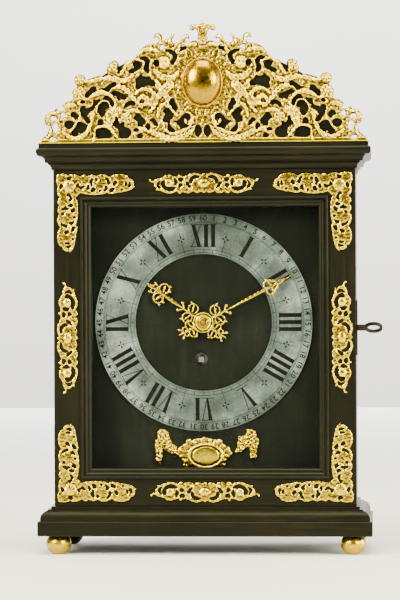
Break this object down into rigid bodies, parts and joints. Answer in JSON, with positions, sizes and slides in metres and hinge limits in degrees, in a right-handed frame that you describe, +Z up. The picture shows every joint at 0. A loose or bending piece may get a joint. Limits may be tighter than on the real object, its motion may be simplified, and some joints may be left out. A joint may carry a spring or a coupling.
{
  "type": "table clock",
  "caption": "Ebony table clock with a hinged glazed door, gilt pierced mounts and cresting, velvet dial, silvered chapter ring and a spring-driven verge movement with a short pendulum.",
  "frame": {"origin": "middle of the case's footprint, on the plane the ball feet stand on", "axes": "+Z up, the dial faces -Y, +X to the right as the dial is read"},
  "size_m": [0.3106, 0.1422, 0.48],
  "materials": {
    "ebony": "waxed ebony",
    "oak": "plain oak",
    "gilt": "fire gilt, worn",
    "brass": "filed brass",
    "steel": "polished steel",
    "iron": "dark iron",
    "silvered": "silvered, tarnished",
    "velvet": "black velvet",
    "silk": "silk",
    "glass": "clear"
  },
  "bodies": {
    "case": {"base_board": "ebony", "base_moulding": "ebony", "ball_feet": "gilt", "side_left": "ebony", "side_right": "ebony", "top_board": "ebony", "cornice_moulding": "ebony", "back_board": "oak", "cresting_board": "ebony", "cresting_fret": "gilt", "cresting_boss": "gilt", "cresting_finial": "gilt", "hinge_case_leaves": "brass", "hinge_pins": "brass", "lock_case": "iron", "key_escutcheon": "gilt", "dial_battens": "oak", "dial_plate": "brass", "dial_velvet": "velvet", "chapter_ring": "silvered", "dial_cartouche": "gilt", "dial_festoons": "gilt", "front_plate": "brass", "back_plate": "brass", "plate_pillars": "brass", "crown_potence": "brass", "suspension_cock": "brass", "click_spring": "steel"},
    "door": {"door_stiles": "ebony", "door_rails": "ebony", "door_moulding": "ebony", "door_glass": "glass", "glazing_beads": "ebony", "corner_mounts": "gilt", "rail_mounts": "gilt", "stile_mounts": "gilt", "hinge_door_leaves": "brass", "strike_plate": "steel"},
    "key": {"door_key": "iron", "lock_bolt": "steel"},
    "minute_arbor": {"centre_wheel": "brass", "cannon_wheel": "brass", "minute_hand": "gilt", "hand_collet": "gilt"},
    "hour_pipe": {"hour_wheel": "brass", "hour_hand": "gilt"},
    "minute_wheel": {"minute_wheel": "brass"},
    "barrel": {"barrel": "brass", "mainspring": "steel"},
    "winding_arbor": {"winding_arbor": "steel", "ratchet_wheel": "steel"},
    "click": {"ratchet_click": "steel"},
    "third_arbor": {"third_wheel": "brass"},
    "contrate_arbor": {"contrate_wheel": "brass"},
    "crown_arbor": {"crown_wheel": "brass"},
    "verge": {"verge": "steel", "crutch": "steel"},
    "pendulum": {"suspension_thread": "silk", "pendulum_rod": "steel", "pendulum_bob": "brass"}
  },
  "joints": [
    {"name": "door_swing", "type": "hinge", "parent": "case", "child": "door", "pos_m": [-0.1366, -0.0327, 0.195], "axis": [0, 0, -1], "range_deg": [0, 120]},
    {"name": "key_turn", "type": "hinge", "parent": "case", "child": "key", "pos_m": [0.1362, -0.0283, 0.2034], "axis": [1, 0, 0], "range_deg": [0, 90]},
    {"name": "minute_turn", "type": "hinge", "parent": "case", "child": "minute_arbor", "pos_m": [-0.0025, 0, 0.2085], "axis": [0, 1, 0], "continuous": true},
    {"name": "hour_turn", "type": "hinge", "parent": "case", "child": "hour_pipe", "pos_m": [-0.0025, 0, 0.2085], "axis": [0, 1, 0], "continuous": true},
    {"name": "minute_wheel_turn", "type": "hinge", "parent": "case", "child": "minute_wheel", "pos_m": [-0.01982, 0, 0.2185], "axis": [0, 1, 0], "continuous": true},
    {"name": "barrel_turn", "type": "hinge", "parent": "case", "child": "barrel", "pos_m": [-0.0049, 0, 0.1749], "axis": [0, 1, 0], "continuous": true},
    {"name": "third_turn", "type": "hinge", "parent": "case", "child": "third_arbor", "pos_m": [0.00969, 0, 0.2256], "axis": [0, 1, 0], "continuous": true},
    {"name": "contrate_turn", "type": "hinge", "parent": "case", "child": "contrate_arbor", "pos_m": [-0.0025, 0, 0.24049], "axis": [0, 1, 0], "continuous": true},
    {"name": "crown_turn", "type": "hinge", "parent": "case", "child": "crown_arbor", "pos_m": [-0.0025, 0.014, 0.26049], "axis": [0, 0, 1], "continuous": true},
    {"name": "winding_turn", "type": "hinge", "parent": "case", "child": "winding_arbor", "pos_m": [-0.0049, 0, 0.1749], "axis": [0, 1, 0], "continuous": true},
    {"name": "click_lift", "type": "hinge", "parent": "case", "child": "click", "pos_m": [0.0091, 0, 0.1809], "axis": [0, 1, 0], "range_deg": [0, 8]},
    {"name": "pendulum_swing", "type": "hinge", "parent": "case", "child": "pendulum", "pos_m": [-0.0025, 0.0471, 0.27699], "axis": [0, 1, 0], "range_deg": [-12, 12]},
    {"name": "verge_rock", "type": "hinge", "parent": "case", "child": "verge", "pos_m": [-0.0025, 0.0271, 0.27699], "axis": [0, 1, 0], "range_deg": [-12, 12]}
  ],
  "couplings": [
    {"joint": "hour_turn", "follows": "minute_turn", "ratio": 0.083333},
    {"joint": "minute_wheel_turn", "follows": "minute_turn", "ratio": -0.33333},
    {"joint": "barrel_turn", "follows": "minute_turn", "ratio": -0.125},
    {"joint": "third_turn", "follows": "minute_turn", "ratio": -6},
    {"joint": "contrate_turn", "follows": "minute_turn", "ratio": 36},
    {"joint": "crown_turn", "follows": "minute_turn", "ratio": -180},
    {"joint": "verge_rock", "follows": "pendulum_swing", "ratio": 1}
  ]
}
